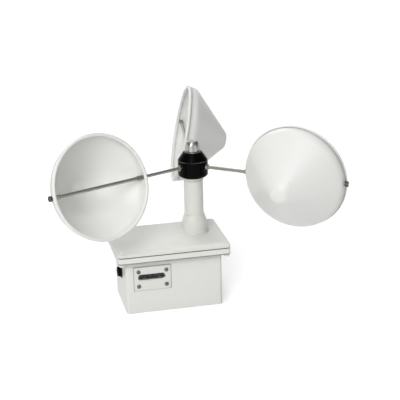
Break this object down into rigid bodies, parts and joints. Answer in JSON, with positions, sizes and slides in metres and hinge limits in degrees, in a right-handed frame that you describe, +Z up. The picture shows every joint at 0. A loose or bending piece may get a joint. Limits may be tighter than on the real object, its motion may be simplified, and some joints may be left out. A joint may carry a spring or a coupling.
{
  "type": "cup anemometer",
  "caption": "Cup anemometer: conical cups on radial rods turn a hub on a short column, driving a wind-run counter seen through a window in a rectangular base box.",
  "frame": {"origin": "rotor axis at the underside of the base box", "axes": "+Z up along the rotor axis, +X to the right along the long side of the box, +Y to the back; the counter window faces -Y"},
  "size_m": [0.3447, 0.327, 0.2312],
  "materials": {
    "enamel": "smooth off-white stoved enamel",
    "cup_enamel": "smooth off-white stoved enamel",
    "hub_black": "gloss black moulding",
    "chrome": "polished plating",
    "plated_steel": "zinc plated",
    "dark_steel": "blackened screws",
    "bearing_steel": "ground",
    "seal_rubber": "matt",
    "gasket_rubber": "matt",
    "black_plastic": "fine texture",
    "glass": "clear",
    "brass": "machined",
    "drum_plastic": "satin black figures drum",
    "pinion_plastic": "natural acetal",
    "plate_enamel": "smooth off-white stoved enamel"
  },
  "bodies": {
    "housing": {"box_body": "enamel", "lid": "enamel", "pedestal": "enamel", "column_tube": "enamel", "bearing_cap": "enamel", "window_plate": "plate_enamel", "lid_screws": "plated_steel", "pedestal_screws": "plated_steel", "frame_screws": "plated_steel", "window_screws": "dark_steel", "pedestal_grub": "dark_steel", "upper_outer_race": "bearing_steel", "lower_outer_race": "bearing_steel", "drum_axle": "bearing_steel", "pinion_axle": "bearing_steel", "bearing_retainer": "bearing_steel", "lid_gasket": "gasket_rubber", "window_gasket": "gasket_rubber", "gland_seal": "seal_rubber", "gland_insert": "seal_rubber", "gland_body": "black_plastic", "gland_cap": "black_plastic", "gland_lock_nut": "black_plastic", "window_glass": "glass", "counter_frame": "brass", "shaft_bushes": "brass", "foot_bush": "brass"},
    "rotor": {"spindle": "bearing_steel", "spindle_clip": "plated_steel", "upper_inner_race": "bearing_steel", "lower_inner_race": "bearing_steel", "hub": "hub_black", "hub_lock_nuts": "plated_steel", "cap_washer": "chrome", "cap_nut": "chrome", "arms": "plated_steel", "cup_sleeves": "plated_steel", "cup_end_nuts": "dark_steel", "cup_root_nuts": "plated_steel", "cup_a": "cup_enamel", "cup_b": "cup_enamel", "cup_c": "cup_enamel", "worm": "bearing_steel"},
    "upper_ball_set": {"upper_balls": "bearing_steel", "upper_cage": "brass"},
    "lower_ball_set": {"lower_balls": "bearing_steel", "lower_cage": "brass"},
    "worm_shaft": {"wheel_shaft": "bearing_steel", "worm_wheel": "brass", "drive_gear": "brass"},
    "figure_drum_1": {"drum_1": "drum_plastic", "drum_gear": "brass"},
    "figure_drum_2": {"drum_2": "drum_plastic"},
    "figure_drum_3": {"drum_3": "drum_plastic"},
    "figure_drum_4": {"drum_4": "drum_plastic"},
    "figure_drum_5": {"drum_5": "drum_plastic"},
    "pinion_1": {"carry_pinion_1": "pinion_plastic"},
    "pinion_2": {"carry_pinion_2": "pinion_plastic"},
    "pinion_3": {"carry_pinion_3": "pinion_plastic"},
    "pinion_4": {"carry_pinion_4": "pinion_plastic"}
  },
  "joints": [
    {"name": "rotor_spin", "type": "hinge", "parent": "housing", "child": "rotor", "pos_m": [0, 0, 0.1675], "axis": [0, 0, 1], "continuous": true},
    {"name": "upper_balls_spin", "type": "hinge", "parent": "housing", "child": "upper_ball_set", "pos_m": [0, 0, 0.1465], "axis": [0, 0, 1], "continuous": true},
    {"name": "lower_balls_spin", "type": "hinge", "parent": "housing", "child": "lower_ball_set", "pos_m": [0, 0, 0.0746], "axis": [0, 0, 1], "continuous": true},
    {"name": "worm_shaft_spin", "type": "hinge", "parent": "housing", "child": "worm_shaft", "pos_m": [0, -0.0185, 0.02954], "axis": [1, 0, 0], "continuous": true},
    {"name": "drum_1_spin", "type": "hinge", "parent": "housing", "child": "figure_drum_1", "pos_m": [-0.0638, -0.0275, 0.0465], "axis": [1, 0, 0], "continuous": true},
    {"name": "drum_2_spin", "type": "hinge", "parent": "housing", "child": "figure_drum_2", "pos_m": [-0.0638, -0.0275, 0.0465], "axis": [1, 0, 0], "continuous": true},
    {"name": "drum_3_spin", "type": "hinge", "parent": "housing", "child": "figure_drum_3", "pos_m": [-0.0638, -0.0275, 0.0465], "axis": [1, 0, 0], "continuous": true},
    {"name": "drum_4_spin", "type": "hinge", "parent": "housing", "child": "figure_drum_4", "pos_m": [-0.0638, -0.0275, 0.0465], "axis": [1, 0, 0], "continuous": true},
    {"name": "drum_5_spin", "type": "hinge", "parent": "housing", "child": "figure_drum_5", "pos_m": [-0.0638, -0.0275, 0.0465], "axis": [1, 0, 0], "continuous": true},
    {"name": "pinion_1_spin", "type": "hinge", "parent": "housing", "child": "pinion_1", "pos_m": [-0.0638, -0.0275, 0.0619], "axis": [1, 0, 0], "continuous": true},
    {"name": "pinion_2_spin", "type": "hinge", "parent": "housing", "child": "pinion_2", "pos_m": [-0.0638, -0.0275, 0.0619], "axis": [1, 0, 0], "continuous": true},
    {"name": "pinion_3_spin", "type": "hinge", "parent": "housing", "child": "pinion_3", "pos_m": [-0.0638, -0.0275, 0.0619], "axis": [1, 0, 0], "continuous": true},
    {"name": "pinion_4_spin", "type": "hinge", "parent": "housing", "child": "pinion_4", "pos_m": [-0.0638, -0.0275, 0.0619], "axis": [1, 0, 0], "continuous": true}
  ],
  "couplings": [
    {"joint": "upper_balls_spin", "follows": "rotor_spin", "ratio": 0.39925},
    {"joint": "lower_balls_spin", "follows": "rotor_spin", "ratio": 0.39925},
    {"joint": "worm_shaft_spin", "follows": "rotor_spin", "ratio": -0.025},
    {"joint": "drum_1_spin", "follows": "rotor_spin", "ratio": 0.025},
    {"joint": "drum_2_spin", "follows": "rotor_spin", "ratio": 0.0025},
    {"joint": "drum_3_spin", "follows": "rotor_spin", "ratio": 0.00025},
    {"joint": "drum_4_spin", "follows": "rotor_spin", "ratio": 0.000025},
    {"joint": "drum_5_spin", "follows": "rotor_spin", "ratio": 0.0000025},
    {"joint": "pinion_1_spin", "follows": "rotor_spin", "ratio": -0.00625},
    {"joint": "pinion_2_spin", "follows": "rotor_spin", "ratio": -0.000625},
    {"joint": "pinion_3_spin", "follows": "rotor_spin", "ratio": -0.0000625},
    {"joint": "pinion_4_spin", "follows": "rotor_spin", "ratio": -0.00000625}
  ]
}
